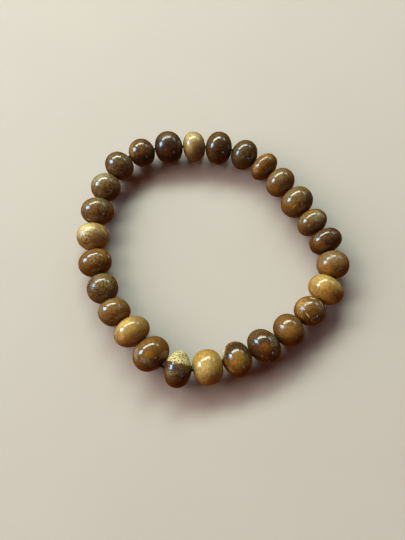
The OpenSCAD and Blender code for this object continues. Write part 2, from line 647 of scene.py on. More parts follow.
# %% Floor finish
FLOOR_TONES = (0.4, 0.355, 0.32, 1), (0.425, 0.38, 0.34, 1)

floor_finish = Finish("pale_floor")
mottle = floor_finish.grain(floor_finish.object_place(), 30.0, detail=3)
floor_shader = floor_finish.shader.inputs
floor_finish.plug(floor_shader["Base Color"], floor_finish.mix(mottle, *FLOOR_TONES))
floor_shader["Roughness"].default_value = 0.75
floor.data.materials.append(floor_finish.material)
print("floor finish:", len(floor_finish.nodes), "nodes")

# %% [markdown]
# ## Tones of wood
#
# The beads come from one kind of tree, but from all over the log: some from the pale outer
# wood, most from the brown heart, a few from nearly black streaks. Sixteen named tones are
# enough for all of them, and a bead's row says which two it drifts between.

# %% Tones
# Some of these tones are also used by the marks below to paint highlights, reflections and shade.
TONES = {
    "cream": (0.72, 0.64, 0.42),
    "sulphur": (0.58, 0.52, 0.24),
    "straw": (0.6, 0.45, 0.18),
    "gold": (0.5, 0.32, 0.06),
    "lichen": (0.36, 0.34, 0.2),
    "honey": (0.48, 0.28, 0.05),
    "ochre": (0.36, 0.2, 0.036),
    "amber": (0.28, 0.115, 0.006),
    "olive": (0.165, 0.105, 0.034),
    "ash": (0.215, 0.175, 0.105),
    "chestnut": (0.19, 0.082, 0.008),
    "walnut": (0.125, 0.058, 0.009),
    "redwood": (0.13, 0.038, 0.004),
    "smoke": (0.075, 0.048, 0.03),
    "umber": (0.068, 0.029, 0.006),
    "espresso": (0.026, 0.012, 0.004),
}


def tone(name):
    """A named tone as an opaque colour."""
    return (*TONES[name], 1)


print("tones:", len(TONES))

# %% [markdown]
# ## What each bead is made of
#
# One row per bead. It drifts from its main tone to a second one in soft clouds, and light
# makes all of it paler or darker. Rings is how strongly its growth rings show, and gap how far
# apart they are in millimetres. Pith is the distance to the centre of the rings, so a small
# one curves them. Turn swings the grain round the vertical, flecks is how full of pores the
# wood is, and rough is the roughness of the polish. Askew is how far the bead leans on its
# string, outer and inner the shares by which it is slimmer on those sides of the loop, and
# full the share by which its shoulders are wider than those of a plain turned bead.

# %% Bead rows
FIELDS = "main second light rings gap pith turn flecks rough askew outer inner full"
Wood = namedtuple("Wood", FIELDS, defaults=(0,))
WOODS = {
    1: Wood("umber", "walnut", 0.75, 0.2, 0.9, 9, 10, 0.5, 0.1, 0.03, -0.03, -0.03, 0.06),
    2: Wood("chestnut", "walnut", 0.9, 0.1, 1.4, 12, 40, 0.2, 0.06, 0, 0, 0, 0.04),
    3: Wood("ochre", "olive", 1.25, 0.06, 1.1, 14, 70, 0.3, 0.07, 0.09, 0.02, 0.02),
    4: Wood("chestnut", "olive", 0.95, 0.1, 1.2, 10, 120, 0.35, 0.08, 0.12, 0.12, 0.12, 0.15),
    5: Wood("walnut", "olive", 0.94, 0.1, 0.9, 11, 30, 0.9, 0.14, -0.03, 0.02, 0.02, 0.05),
    6: Wood("chestnut", "walnut", 0.95, 0.15, 0.8, 6, 60, 0.4, 0.08, 0, -0.05, 0),
    7: Wood("ochre", "olive", 1.32, 0.08, 1.0, 9, 80, 0.8, 0.27, 0, 0, 0),
    8: Wood("walnut", "olive", 0.9, 0.12, 0.8, 8, 15, 0.5, 0.13, -0.05, 0, 0),
    9: Wood("walnut", "olive", 0.95, 0.08, 1.1, 13, 50, 0.35, 0.08, 0, 0.05, 0),
    10: Wood("walnut", "olive", 0.7, 0.1, 0.9, 10, 100, 0.5, 0.08, 0, 0, 0),
    11: Wood("umber", "walnut", 0.85, 0.1, 1.0, 12, 20, 0.35, 0.07, -0.02, 0, 0),
    12: Wood("espresso", "umber", 0.7, 0.12, 0.8, 9, 140, 0.4, 0.13, -0.03, -0.02, 0, 0.04),
    13: Wood("ochre", "olive", 0.9, 0.08, 1.1, 12, 65, 0.25, 0.18, -0.08, 0.02, 0.02, 0.08),
    14: Wood("umber", "walnut", 0.6, 0.1, 1.0, 11, 35, 0.3, 0.07, 0, 0, 0.03, 0.04),
    15: Wood("olive", "walnut", 0.5, 0.1, 0.8, 8, 0, 0.5, 0.09, 0.02, 0, 0),
    16: Wood("chestnut", "walnut", 0.95, 0.12, 0.9, 9, 150, 0.35, 0.1, 0, 0, 0),
    17: Wood("chestnut", "olive", 0.8, 0.1, 1.0, 12, 45, 0.35, 0.09, -0.02, 0, 0),
    18: Wood("chestnut", "olive", 0.76, 0.1, 1.2, 13, 110, 0.25, 0.06, -0.03, 0, 0, 0.05),
    19: Wood("chestnut", "olive", 0.78, 0.14, 0.7, 7, 25, 0.3, 0.09, 0, 0, 0),
    20: Wood("umber", "walnut", 0.72, 0.12, 0.9, 10, 75, 0.35, 0.09, 0.05, 0, 0, 0.12),
    21: Wood("chestnut", "olive", 0.95, 0.1, 0.9, 9, 55, 0.5, 0.12, 0, 0, -0.02, 0.05),
    22: Wood("honey", "ochre", 0.8, 0.08, 1.0, 12, 160, 0.25, 0.08, -0.06, -0.04, 0, 0.08),
    23: Wood("chestnut", "walnut", 0.82, 0.2, 0.7, 5, 40, 0.4, 0.09, -0.06, 0, 0.02, 0.02),
    24: Wood("chestnut", "walnut", 0.8, 0.1, 1.0, 10, 130, 0.35, 0.08, 0, 0, 0.03),
    25: Wood("umber", "walnut", 0.62, 0.1, 1.3, 14, 5, 0.3, 0.07, -0.05, -0.02, 0),
    26: Wood("walnut", "chestnut", 0.85, 0.12, 0.9, 6, 90, 0.35, 0.08, 0, 0, 0),
    27: Wood("honey", "ochre", 0.85, 0.18, 0.35, 14, 125, 0.25, 0.09, 0.01, 0, 0.03, 0.08),
}
print("rows of wood:", len(WOODS))

# %% [markdown]
# ## Marks
#
# What makes a natural bead is its accidents: an eye where a twig was, a hairline vein. Not every
# row is one, though. Pale bands on the left rim and grey spots and bands on the right are painted
# reflections, a few cream lines are painted highlights and glints, and broad patches that are
# paler and greyer towards the top and left, darker towards the lower right and redder towards the
# bottom are partly the wood's own tone and partly painted light and shade. Each mark is a row
# with a place in millimetres to the right and to the back of the bead's middle, seen from above,
# a length and a width, the turn of its length, a tone, a strength and how soft its edge is. A
# patch is a filled oval and a facet a filled rectangle. A ring is only the outline of an oval,
# with breaks in it, and a speckle is broken up into pores. A matt mark has no tone, and only
# dulls the polish.

# %% Mark rows
Mark = namedtuple("Mark", "bead kind right back length width turn tone strength soft")
MARKS = [
    # Greyer band under the lip: partly the wood's own tone, partly painted sheen.
    Mark(1, "patch", 0.3, -1.2, 5.6, 2.4, 0, "smoke", 0.55, 0.5),
    Mark(1, "speckle", -1.6, -1.8, 4.0, 0.9, 0, "straw", 0.5, 0.4),
    Mark(1, "patch", 1.5, -1.1, 2.4, 2.6, 0, "olive", 0.4, 0.5),
    Mark(1, "patch", -1.9, -2.5, 3.0, 1.6, -20, "ash", 0.25, 0.5),
    Mark(1, "patch", -2.6, -0.6, 1.8, 1.0, 0, "chestnut", 0.6, 0.5),
    # Redder towards the bottom: partly the wood's own tone, partly painted warm light from below.
    Mark(1, "patch", 0.1, -4.2, 4.8, 2.8, 0, "redwood", 0.85, 0.6),
    Mark(1, "patch", 0.4, -3.5, 0.3, 0.25, 0, "cream", 0.7, 0.3),
    # Pale band on the left rim: painted reflection.
    Mark(2, "patch", -3.6, -0.7, 3.4, 1.8, 75, "ash", 0.75, 0.2),
    Mark(2, "facet", -1.2, -2.6, 2.2, 1.4, -12, "ash", 0.8, 0.1),
    Mark(2, "facet", 0.3, -3.3, 1.7, 2.2, 35, "ash", 0.65, 0.1),
    Mark(2, "patch", -0.1, -1.4, 2.6, 1.8, 0, "amber", 0.6, 0.3),
    # Paler towards the upper left: partly the wood's own tone, partly painted light.
    Mark(3, "patch", -2.0, 0.4, 3.8, 2.4, 50, "straw", 0.2, 0.7),
    # Pale band on the left rim: painted reflection.
    Mark(3, "patch", -3.9, -1.0, 2.8, 1.4, 80, "ash", 0.6, 0.4),
    # Grey spot on the right: painted reflection of a lamp.
    Mark(3, "patch", 1.5, -2.6, 1.4, 1.0, 30, "ash", 0.4, 0.3),
    Mark(3, "patch", -0.5, -3.9, 2.8, 1.0, 0, "ash", 0.4, 0.4),
    Mark(3, "speckle", -2.4, -2.6, 2.2, 1.4, 30, "straw", 0.4, 0.4),
    Mark(4, "patch", 1.3, 1.6, 2.4, 1.5, 0, "chestnut", 0.8, 0.3),
    # Pale band on the left rim: painted reflection.
    Mark(4, "patch", -3.4, -0.9, 3.0, 1.4, 80, "ash", 0.5, 0.5),
    Mark(4, "patch", -0.4, -3.3, 1.4, 0.5, 40, "ash", 0.5, 0.4),
    Mark(4, "patch", -1.6, -3.0, 1.2, 0.4, -30, "ash", 0.4, 0.4),
    Mark(5, "speckle", -2.7, -0.2, 3.8, 2.2, 60, "espresso", 2.6, 0.3),
    Mark(5, "speckle", -1.4, -2.2, 3.8, 2.2, -20, "espresso", 2.6, 0.3),
    Mark(5, "ring", 1.8, 0.1, 1.3, 1.7, 0, "lichen", 0.4, 0.3),
    Mark(5, "patch", 1.8, 0.1, 0.6, 0.9, 0, "umber", 0.6, 0.4),
    Mark(6, "patch", 2.5, 1.9, 4.0, 1.6, -35, "amber", 0.7, 0.5),
    Mark(6, "speckle", 0.2, -1.0, 3.0, 2.0, 20, "lichen", 0.3, 0.4),
    Mark(6, "ring", 2.0, 0.0, 1.8, 1.4, 5, "lichen", 0.45, 0.22),
    Mark(6, "ring", 2.1, -0.5, 3.4, 2.8, 5, "lichen", 0.35, 0.13),
    Mark(6, "patch", 3.9, 1.1, 0.8, 0.4, -60, "cream", 0.9, 0.3),
    # Pale band on the left rim: painted reflection.
    Mark(6, "patch", -4.0, -1.4, 2.8, 1.6, 70, "ash", 0.4, 0.5),
    # Paler towards the upper left: partly the wood's own tone, partly painted light.
    Mark(7, "patch", -2.0, 0.3, 4.4, 3.8, 40, "sulphur", 0.5, 0.7),
    # Darker towards the lower right: partly the wood's own tone, partly painted shade.
    Mark(7, "patch", 2.5, -1.6, 4.2, 3.0, 0, "olive", 0.6, 0.6),
    # Thin cream arcs near the rim: painted highlights.
    Mark(7, "patch", 3.2, 0.9, 1.4, 0.25, -20, "cream", 0.6, 0.4),
    Mark(7, "patch", 3.9, 0.0, 0.9, 0.25, -60, "cream", 0.6, 0.4),
    Mark(7, "speckle", -1.2, -1.6, 6.0, 4.4, 0, "umber", 1.3, 0.4),
    Mark(8, "patch", 3.9, -1.5, 3.4, 1.6, 85, "amber", 0.7, 0.5),
    # Cream line where the edge is chipped: painted glint.
    Mark(8, "patch", -2.1, -3.1, 1.0, 0.4, -20, "cream", 0.8, 0.3),
    Mark(8, "speckle", 0.2, -1.7, 3.4, 2.0, 0, "amber", 0.5, 0.4),
    # Grey spot on the right: painted reflection of a lamp.
    Mark(8, "patch", 2.6, 0.4, 1.4, 1.2, 0, "ash", 0.3, 0.4),
    # Paler and greyer towards the upper left: partly the wood's own tone, partly painted sheen.
    Mark(9, "patch", -1.4, 1.4, 5.4, 4.0, 30, "lichen", 0.35, 0.6),
    # Darker towards the lower right: partly the wood's own tone, partly painted shade.
    Mark(9, "patch", 2.8, -3.2, 3.6, 2.4, 40, "espresso", 0.5, 0.6),
    # Grey spot on the right: painted reflection of a lamp.
    Mark(9, "patch", 3.1, -0.1, 1.4, 1.2, 0, "ash", 0.35, 0.5),
    # Faint grey streak on the right: painted reflection of a lamp.
    Mark(9, "patch", 2.4, -2.3, 1.6, 0.4, 85, "ash", 0.45, 0.5),
    Mark(10, "patch", -2.6, -1.9, 1.2, 1.0, 0, "ash", 0.8, 0.25),
    # Grey spot on the right: painted reflection of a lamp.
    Mark(10, "patch", 2.2, 0.1, 1.8, 1.8, 0, "ash", 0.25, 0.5),
    Mark(10, "speckle", 0.2, -2.8, 3.6, 2.0, 0, "espresso", 0.5, 0.4),
    Mark(11, "patch", -2.7, -0.4, 4.4, 1.8, 65, "ochre", 0.5, 0.5),
    Mark(11, "speckle", 2.0, -1.8, 1.4, 1.4, 0, "ash", 0.4, 0.3),
    # Darker towards the front: partly the wood's own tone, partly painted shade.
    Mark(11, "patch", 1.2, -3.4, 4.6, 2.8, 0, "espresso", 0.8, 0.6),
    # Paler and greyer towards the top: partly the wood's own tone, partly painted sheen.
    Mark(12, "patch", 0.0, 2.0, 5.4, 3.4, 0, "olive", 0.5, 0.6),
    Mark(12, "matt", -0.3, 0.9, 3.2, 1.6, 20, None, 0.7, 0.4),
    # Greyer patch on the right: painted reflection.
    Mark(12, "patch", 2.2, -1.1, 2.4, 3.0, 0, "smoke", 0.3, 0.6),
    # Redder towards the bottom: partly the wood's own tone, partly painted warm light from below.
    Mark(12, "patch", -0.2, -3.4, 4.4, 3.0, 0, "redwood", 0.35, 0.6),
    Mark(12, "patch", -0.8, -3.0, 0.35, 0.3, 0, "straw", 0.4, 0.4),
    Mark(12, "speckle", 0.2, -3.9, 2.6, 1.4, 0, "chestnut", 0.5, 0.4),
    # Paler towards the top: partly the wood's own tone, partly painted light.
    Mark(13, "patch", -0.6, 1.3, 5.0, 4.0, 0, "sulphur", 0.4, 0.5),
    # Darker towards the lower right: partly the wood's own tone, partly painted shade.
    Mark(13, "patch", 1.5, -2.2, 3.4, 3.6, 0, "olive", 0.8, 0.5),
    # Paler on the left: partly the wood's own tone, partly painted light.
    Mark(13, "patch", -1.3, -2.4, 1.8, 3.0, 0, "sulphur", 0.3, 0.6),
    # Paler and greyer towards the top: partly the wood's own tone, partly painted sheen.
    Mark(14, "patch", 0.0, 2.4, 4.8, 3.2, 0, "olive", 0.3, 0.6),
    # Grey spot on the right: painted reflection of a lamp.
    Mark(14, "patch", 1.9, 0.1, 1.4, 1.2, 0, "ash", 0.15, 0.5),
    # Grey spot on the right: painted reflection of a lamp.
    Mark(14, "patch", 1.6, -2.5, 1.2, 1.4, 0, "ash", 0.15, 0.5),
    Mark(15, "ring", -0.6, -1.7, 1.1, 0.9, 0, "espresso", 0.9, 0.3),
    Mark(15, "ring", -0.6, -1.7, 1.8, 1.5, 0, "straw", 0.3, 0.2),
    Mark(15, "ring", -0.6, -1.6, 3.0, 2.5, 0, "lichen", 0.25, 0.12),
    Mark(15, "patch", -0.9, -2.8, 0.9, 0.25, -10, "straw", 0.6, 0.4),
    Mark(15, "patch", 1.8, -1.4, 0.3, 0.3, 0, "cream", 0.8, 0.3),
    # Redder towards the bottom: partly the wood's own tone, partly painted warm light from below.
    Mark(15, "patch", -0.2, -4.3, 4.4, 1.3, 0, "amber", 0.8, 0.4),
    Mark(15, "speckle", -2.3, -2.6, 2.4, 1.8, 0, "lichen", 0.3, 0.3),
    Mark(16, "patch", 0.4, 1.5, 4.8, 1.7, -35, "amber", 0.7, 0.5),
    Mark(16, "patch", 2.3, -0.2, 2.2, 2.6, -30, "olive", 0.5, 0.4),
    # Darker towards the front: partly the wood's own tone, partly painted shade.
    Mark(16, "patch", 0.9, -3.0, 3.6, 1.4, 35, "umber", 0.5, 0.5),
    Mark(16, "ring", -2.6, -2.2, 2.2, 1.6, 40, "straw", 0.4, 0.2),
    Mark(16, "speckle", -2.9, -2.2, 2.6, 1.8, 60, "straw", 0.4, 0.3),
    # Pale band on the left rim: painted reflection.
    Mark(17, "patch", -3.7, -1.4, 1.8, 1.2, 70, "ash", 0.5, 0.4),
    Mark(17, "patch", -1.4, -3.3, 1.2, 0.25, 70, "straw", 0.5, 0.4),
    # Darker towards the lower right: partly the wood's own tone, partly painted shade.
    Mark(17, "patch", 1.8, -2.0, 3.2, 2.8, 30, "umber", 0.3, 0.6),
    # Redder towards the lower left: partly the wood's own tone, partly painted warm light from
    # below.
    Mark(17, "patch", -2.0, -3.4, 4.4, 2.2, -30, "amber", 0.6, 0.5),
    # Redder towards the lower left: partly the wood's own tone, partly painted warm light from
    # below.
    Mark(18, "patch", -2.4, -2.6, 4.4, 2.4, -35, "amber", 0.4, 0.6),
    Mark(18, "patch", 3.1, -0.7, 5.2, 3.0, 82, "smoke", 0.85, 0.2),
    Mark(18, "patch", -1.6, -3.1, 1.9, 0.22, 55, "straw", 0.7, 0.3),
    # Pale band on the left rim: painted reflection.
    Mark(18, "patch", -3.9, -0.8, 2.4, 1.2, 80, "ash", 0.4, 0.5),
    Mark(19, "patch", -0.6, 1.6, 3.8, 1.3, -10, "amber", 0.6, 0.5),
    # Pale band on the left rim: painted reflection.
    Mark(19, "patch", -3.6, -0.1, 1.8, 0.8, 60, "ash", 0.6, 0.5),
    Mark(19, "facet", 1.4, -0.2, 3.2, 3.0, 60, "lichen", 0.4, 0.08),
    Mark(19, "matt", 1.1, 1.7, 2.2, 1.6, 0, None, 1.5, 0.3),
    Mark(19, "patch", -1.6, -2.3, 0.35, 0.3, 0, "cream", 0.6, 0.3),
    # Darker towards the front: partly the wood's own tone, partly painted shade.
    Mark(19, "patch", -1.2, -3.4, 4.4, 1.8, -10, "umber", 0.5, 0.6),
    # Redder towards the lower left: partly the wood's own tone, partly painted warm light from
    # below.
    Mark(20, "patch", -2.0, -2.7, 4.6, 2.8, -35, "chestnut", 0.9, 0.5),
    # Pale band on the left rim: painted reflection.
    Mark(20, "patch", -3.1, -0.4, 2.6, 1.6, 50, "ash", 0.35, 0.5),
    # Greyer patch on the right: painted reflection.
    Mark(20, "patch", 2.2, -0.4, 3.4, 2.8, 0, "smoke", 0.6, 0.5),
    # Light patch at the upper right: painted reflection.
    Mark(20, "patch", 2.2, 0.7, 1.2, 0.6, 0, "ash", 0.4, 0.4),
    Mark(20, "speckle", 0.3, -2.2, 3.4, 1.6, -40, "espresso", 1.4, 0.3),
    # Redder towards the lower left: partly the wood's own tone, partly painted warm light from
    # below.
    Mark(21, "patch", -2.6, -2.0, 3.4, 3.0, -40, "amber", 0.5, 0.6),
    Mark(21, "speckle", -1.6, 0.8, 1.7, 1.0, 20, "espresso", 1.0, 0.3),
    Mark(21, "speckle", -0.9, -0.3, 1.5, 0.9, 0, "espresso", 1.0, 0.3),
    Mark(21, "speckle", -0.2, -2.2, 2.2, 1.4, 0, "umber", 1.0, 0.3),
    Mark(21, "patch", 2.2, -0.4, 3.4, 2.8, 80, "olive", 0.5, 0.5),
    # Pale band on the left rim: painted reflection.
    Mark(21, "patch", -3.9, -0.9, 1.8, 1.1, 80, "ash", 0.5, 0.4),
    # Grey spot on the right: painted reflection of a lamp.
    Mark(21, "patch", 1.7, -2.4, 0.8, 0.6, 0, "ash", 0.4, 0.5),
    Mark(21, "matt", -0.7, 0.3, 4.0, 1.6, 20, None, 0.6, 0.5),
    Mark(22, "speckle", 0.4, -1.2, 5.0, 3.8, 20, "ochre", 0.6, 0.5),
    # Paler towards the upper left: partly the wood's own tone, partly painted light.
    Mark(22, "patch", -2.4, 1.4, 5.0, 3.6, 50, "sulphur", 0.2, 0.7),
    # Darker towards the lower right: partly the wood's own tone, partly painted shade.
    Mark(22, "patch", 2.1, -2.4, 5.0, 3.2, -45, "chestnut", 0.65, 0.7),
    Mark(22, "patch", 2.5, -0.2, 2.8, 2.2, -50, "lichen", 0.3, 0.6),
    # Pale band on the left rim: painted reflection.
    Mark(22, "patch", -3.6, -0.8, 2.2, 1.2, 85, "straw", 0.5, 0.5),
    # Grey spot on the right: painted reflection of a lamp.
    Mark(22, "patch", 1.7, -2.9, 0.5, 0.5, 0, "ash", 0.7, 0.4),
    Mark(23, "patch", -3.0, 1.6, 3.0, 2.4, 50, "ochre", 0.5, 0.6),
    Mark(23, "patch", -3.0, -1.2, 3.4, 2.0, 70, "chestnut", 0.5, 0.5),
    Mark(23, "speckle", -2.6, 1.0, 4.0, 3.2, 40, "gold", 0.6, 0.4),
    Mark(23, "speckle", -3.1, -1.2, 3.4, 2.4, 70, "honey", 0.6, 0.4),
    Mark(23, "patch", 2.2, -0.4, 3.6, 1.8, -60, "ash", 0.35, 0.4),
    Mark(23, "patch", 0.4, 2.6, 1.4, 0.4, -20, "cream", 0.7, 0.3),
    Mark(23, "patch", 2.7, 0.8, 2.6, 0.16, -55, "cream", 0.8, 0.5),
    Mark(23, "patch", 3.5, -1.2, 1.8, 0.16, -75, "cream", 0.7, 0.5),
    Mark(23, "patch", -1.2, -2.1, 1.5, 0.22, -65, "cream", 0.8, 0.4),
    Mark(23, "ring", 1.0, -3.2, 2.0, 1.8, 20, "cream", 0.8, 0.12),
    Mark(23, "matt", -1.0, 0.1, 3.4, 2.0, 20, None, 0.5, 0.5),
    Mark(24, "patch", -0.9, -1.3, 4.6, 4.6, 0, "ochre", 0.4, 0.6),
    Mark(24, "speckle", -0.9, -1.3, 4.4, 4.4, 0, "umber", 0.2, 0.5),
    # Redder towards the bottom: partly the wood's own tone, partly painted warm light from below.
    Mark(24, "patch", 0.1, -3.7, 5.0, 2.2, 0, "redwood", 0.6, 0.7),
    # Grey band along the right rim: painted reflection.
    Mark(24, "patch", 2.7, 0.0, 4.4, 2.0, 100, "ash", 0.2, 0.4),
    # Greyer towards the upper left: partly the wood's own tone, partly painted sheen.
    Mark(24, "patch", -2.8, 2.2, 3.0, 1.9, 40, "olive", 0.3, 0.5),
    # Grey spot on the right: painted reflection of a lamp.
    Mark(24, "patch", 1.5, -2.9, 0.4, 0.5, 0, "ash", 0.7, 0.4),
    # Paler and greyer towards the upper left: partly the wood's own tone, partly painted sheen.
    Mark(25, "patch", -2.7, 2.8, 5.6, 2.6, 40, "olive", 0.4, 0.5),
    # Redder towards the bottom: partly the wood's own tone, partly painted warm light from below.
    Mark(25, "patch", -0.6, -2.4, 5.4, 4.2, 0, "redwood", 0.7, 0.6),
    Mark(25, "patch", -0.2, -1.4, 2.8, 2.0, 0, "amber", 0.4, 0.6),
    Mark(25, "facet", 2.1, 0.3, 2.8, 2.2, 102, "ash", 0.5, 0.08),
    # Grey patch on the right: painted reflection.
    Mark(25, "patch", 2.6, -2.4, 1.5, 1.9, 0, "ash", 0.6, 0.3),
    Mark(25, "patch", 0.5, 3.0, 3.2, 0.4, -20, "amber", 0.8, 0.5),
    Mark(25, "patch", -1.0, -3.2, 0.35, 0.3, 0, "cream", 0.9, 0.3),
    Mark(25, "patch", 0.3, -3.7, 0.3, 0.25, 0, "cream", 0.7, 0.3),
    Mark(25, "patch", 1.0, -4.3, 0.4, 0.4, 0, "straw", 0.7, 0.3),
    Mark(26, "patch", 0.1, 0.6, 8.2, 7.6, 0, "espresso", 0.82, 0.1),
    Mark(26, "patch", 0.3, -1.9, 5.6, 6.8, 0, "chestnut", 0.85, 0.12),
    Mark(26, "patch", 0.4, -1.0, 3.6, 4.2, 0, "ochre", 0.5, 0.6),
    Mark(26, "speckle", 0.4, -1.2, 4.4, 4.6, 0, "umber", 0.25, 0.5),
    # Grey band along the right rim: painted reflection.
    Mark(26, "patch", 2.7, -1.0, 3.6, 1.8, 80, "ash", 0.2, 0.4),
    # Redder towards the bottom: partly the wood's own tone, partly painted warm light from below.
    Mark(26, "patch", -0.2, -4.4, 5.0, 2.0, 0, "redwood", 0.8, 0.5),
    Mark(26, "speckle", -1.9, -3.1, 2.4, 1.5, 0, "straw", 0.4, 0.3),
    Mark(27, "patch", -1.2, -1.6, 5.4, 4.4, 40, "sulphur", 0.3, 0.6),
    Mark(27, "patch", 2.4, -0.2, 3.0, 4.6, 0, "olive", 0.3, 0.7),
    # Pale band on the left rim: painted reflection.
    Mark(27, "patch", -3.5, -1.6, 3.0, 1.8, 75, "straw", 0.4, 0.6),
]
print("marks:", len(MARKS))

# %% [markdown]
# ## Placing a mark on a curved bead
#
# A mark's row says where it is seen from above. To paint it, its place has to lie on the
# bead's skin, and its own axes have to follow the skin there. An image could be projected, but
# a small frame per mark does the same with nodes alone and works from every side.

# %% Frame of a mark
def mark_frame(form, mark):
    """Place of a mark on its bead's skin, and the turn of its own axes, in the bead's frame."""
    seen = Vector((mark.right, mark.back, 0))
    x, y = seen.dot(form.along), seen.dot(form.out)
    h, r = form.length_half, form.radius
    z = r * math.sqrt(max(0.0, 1 - (x / h) ** 2 - (y / r) ** 2))
    normal = Vector((x / h ** 2, y / r ** 2, z / r ** 2)).normalized()
    turn = math.radians(mark.turn)
    seen_length = Vector((math.cos(turn), math.sin(turn), 0))
    length = Vector([seen_length.dot(axis) for axis in (form.along, form.out, form.up)])
    length = (length - length.dot(normal) * normal).normalized()
    axes = Matrix((length, normal.cross(length), normal)).transposed()
    return (x, y, z), axes.to_euler("XYZ")


# %% Mask of a mark
MARK_REACH = 3.0


def mark_mask(finish, form, mark, place, wobble):
    """1 where the mark shows and 0 elsewhere."""
    location, rotation = mark_frame(form, mark)
    scale = (mark.length / 2, mark.width / 2, MARK_REACH)
    own = finish.moved(place, location, rotation, scale, "TEXTURE")
    if mark.kind == "facet":
        x, y, _ = finish.parts(own)
        away = finish.sum("MAXIMUM", abs(x), abs(y)) + 0.8 * wobble
        return finish.between(away, 1 + mark.soft, 1 - mark.soft)
    away = finish.length(own) + wobble
    if mark.kind == "ring":
        return finish.between(abs(away - 1), mark.soft, 0.3 * mark.soft)
    return finish.between(away, 1 + mark.soft, 1 - mark.soft)


# %% [markdown]
# ## Polished wood
#
# The wood is built up as it grew: soft clouds between the bead's two tones, growth rings, fine
# fibres along the grain, dark pores, and then the marks on top, some of which paint light and
# shade. The polish is a gloss over all of it, a little duller in the pores, which are also real
# dents in the relief so that they break up the reflections. Handling leaves a film of wax on the
# gloss, and a weak, rough coat stands for that: it spreads the lamps into the haze round their
# reflections.

# %% Wood as it grew
ALONG_FIBRES = 0.45


def from_middle(finish, form, turn=(0, 0, 0)):
    """Coordinates in millimetres from the middle of a bead."""
    return finish.moved(finish.object_place(), form.middle, turn, (MM, MM, MM), "TEXTURE")


def grown_wood(finish, wood, grown):
    """Returns the plain wood's colour, and where its fibres and its pores are."""
    clouds = finish.grain(grown, 0.28, detail=5, roughness=0.6, distortion=0.8)
    rings = finish.waves(grown, wood.gap, distortion=1.6)
    fibre_place = finish.moved(grown, scale=(ALONG_FIBRES, 1.1, 1.1))
    fibres = finish.between(finish.grain(fibre_place, 2.2, detail=3, roughness=0.65), 0.35, 0.65)
    pore_place = finish.moved(grown, scale=(ALONG_FIBRES, 1.0, 1.0))
    pores = wood.flecks * finish.between(finish.grain(pore_place, 4.5, detail=1), 0.6, 0.72)
    drift = finish.between(0.75 * clouds + 0.25 * fibres, 0.35, 0.65)
    colour = finish.mix(drift, tone(wood.main), tone(wood.second))
    colour = finish.shade(colour, 1 - wood.rings * finish.between(rings, 0.45, 0.95))
    return finish.mix(pores, colour, tone("espresso")), fibres, pores


# %% Marks on the wood
def add_marks(finish, number, place, grown, colour, pores):
    """Returns the colour with the bead's marks, and where the skin is dented and dulled."""
    wobble = 0.7 * finish.grain(grown, 1.0, detail=3) - 0.35
    speckles = finish.between(finish.grain(grown, 3.4, detail=1), 0.5, 0.58)
    breaks = finish.between(finish.grain(grown, 1.4, detail=2), 0.4, 0.56)
    dents = dulled = pores
    for mark in [mark for mark in MARKS if mark.bead == number]:
        share = mark.strength * mark_mask(finish, FORMS[number], mark, place, wobble)
        if mark.kind == "matt":
            dulled = dulled + share
            continue
        if mark.kind == "ring":
            share = share * breaks
        if mark.kind == "speckle":
            share = share * speckles
            dents = dents + share
        colour = finish.mix(share, colour, tone(mark.tone))
    return colour, dents, dulled


# %% Wood finish
LOG_STEP = 31
DENT_DEPTH = 0.018
FIBRE_HEIGHT = 0.0035
DULLING = 0.15


def wood_finish(number):
    """The polished wood of one bead."""
    form, wood = FORMS[number], WOODS[number]
    finish = Finish(f"polished_wood_{number:02d}")
    place = from_middle(finish, form, own_axes(form).to_euler("XYZ"))
    # Each bead is cut from its own place in the log, with its grain a little off the string.
    grain_turn = (0.3 * math.sin(number), 0.2, math.radians(wood.turn))
    grown = finish.moved(place, (LOG_STEP * number, wood.pith, 0), grain_turn)
    colour, fibres, pores = grown_wood(finish, wood, grown)
    colour, dents, dulled = add_marks(finish, number, place, grown, colour, pores)
    mottle = finish.grain(grown, 1.7, detail=4, roughness=0.65)
    colour = finish.shade(colour, wood.light * (0.2 + 0.6 * fibres + mottle))
    polish = finish.grain(place, 0.7, detail=2)
    shader = finish.shader.inputs
    finish.plug(shader["Base Color"], colour)
    finish.plug(shader["Roughness"], wood.rough * (0.6 + 0.8 * polish) + DULLING * dulled)
    finish.plug(shader["Normal"], finish.bump(FIBRE_HEIGHT * fibres - DENT_DEPTH * dents))
    shader["IOR"].default_value = 1.46
    shader["Coat Weight"].default_value = 0.24
    shader["Coat Roughness"].default_value = 0.6
    return finish.material


# %% [markdown]
# ## Crust finish
#
# The crust is dry and crumbly and pale yellow, and the finish darkens it towards umber the deeper
# a pit goes. The mesh already knows where its pits are, so the finish reads that attribute
# instead of guessing them again.

# %% Crust finish
def crust_finish(number, pale, warm):
    """Raw crust that drifts between two tones, dark in its pits."""
    finish = Finish(f"raw_crust_{number:02d}")
    place = from_middle(finish, FORMS[number])
    pit = Number(finish, finish.noted(PIT_LAYER)["Fac"])
    drift = finish.between(finish.grain(place, 1.6, detail=4, roughness=0.7), 0.4, 0.62)
    dust = finish.grain(place, 7.0, detail=2)
    colour = finish.mix(drift, tone(pale), tone(warm))
    colour = finish.shade(colour, 0.55 + 0.6 * dust)
    colour = finish.mix(finish.between(pit, 0.05, 0.45), colour, tone("umber"))
    shader = finish.shader.inputs
    finish.plug(shader["Base Color"], colour)
    finish.plug(shader["Normal"], finish.bump(0.04 * dust + 0.03 * drift))
    shader["Roughness"].default_value = 0.85
    shader["Specular IOR Level"].default_value = 0.25
    return finish.material


# %% [markdown]
# ## Making the beads
#
# Each bead is turned in its own frame, where the hole lies along X, and is then put in its
# place. The place goes into the mesh and not into the object, so the object stays at the
# origin and the patterns stay on the wood. A bead with crust gets a mesh twice as fine, because
# its pits are small.

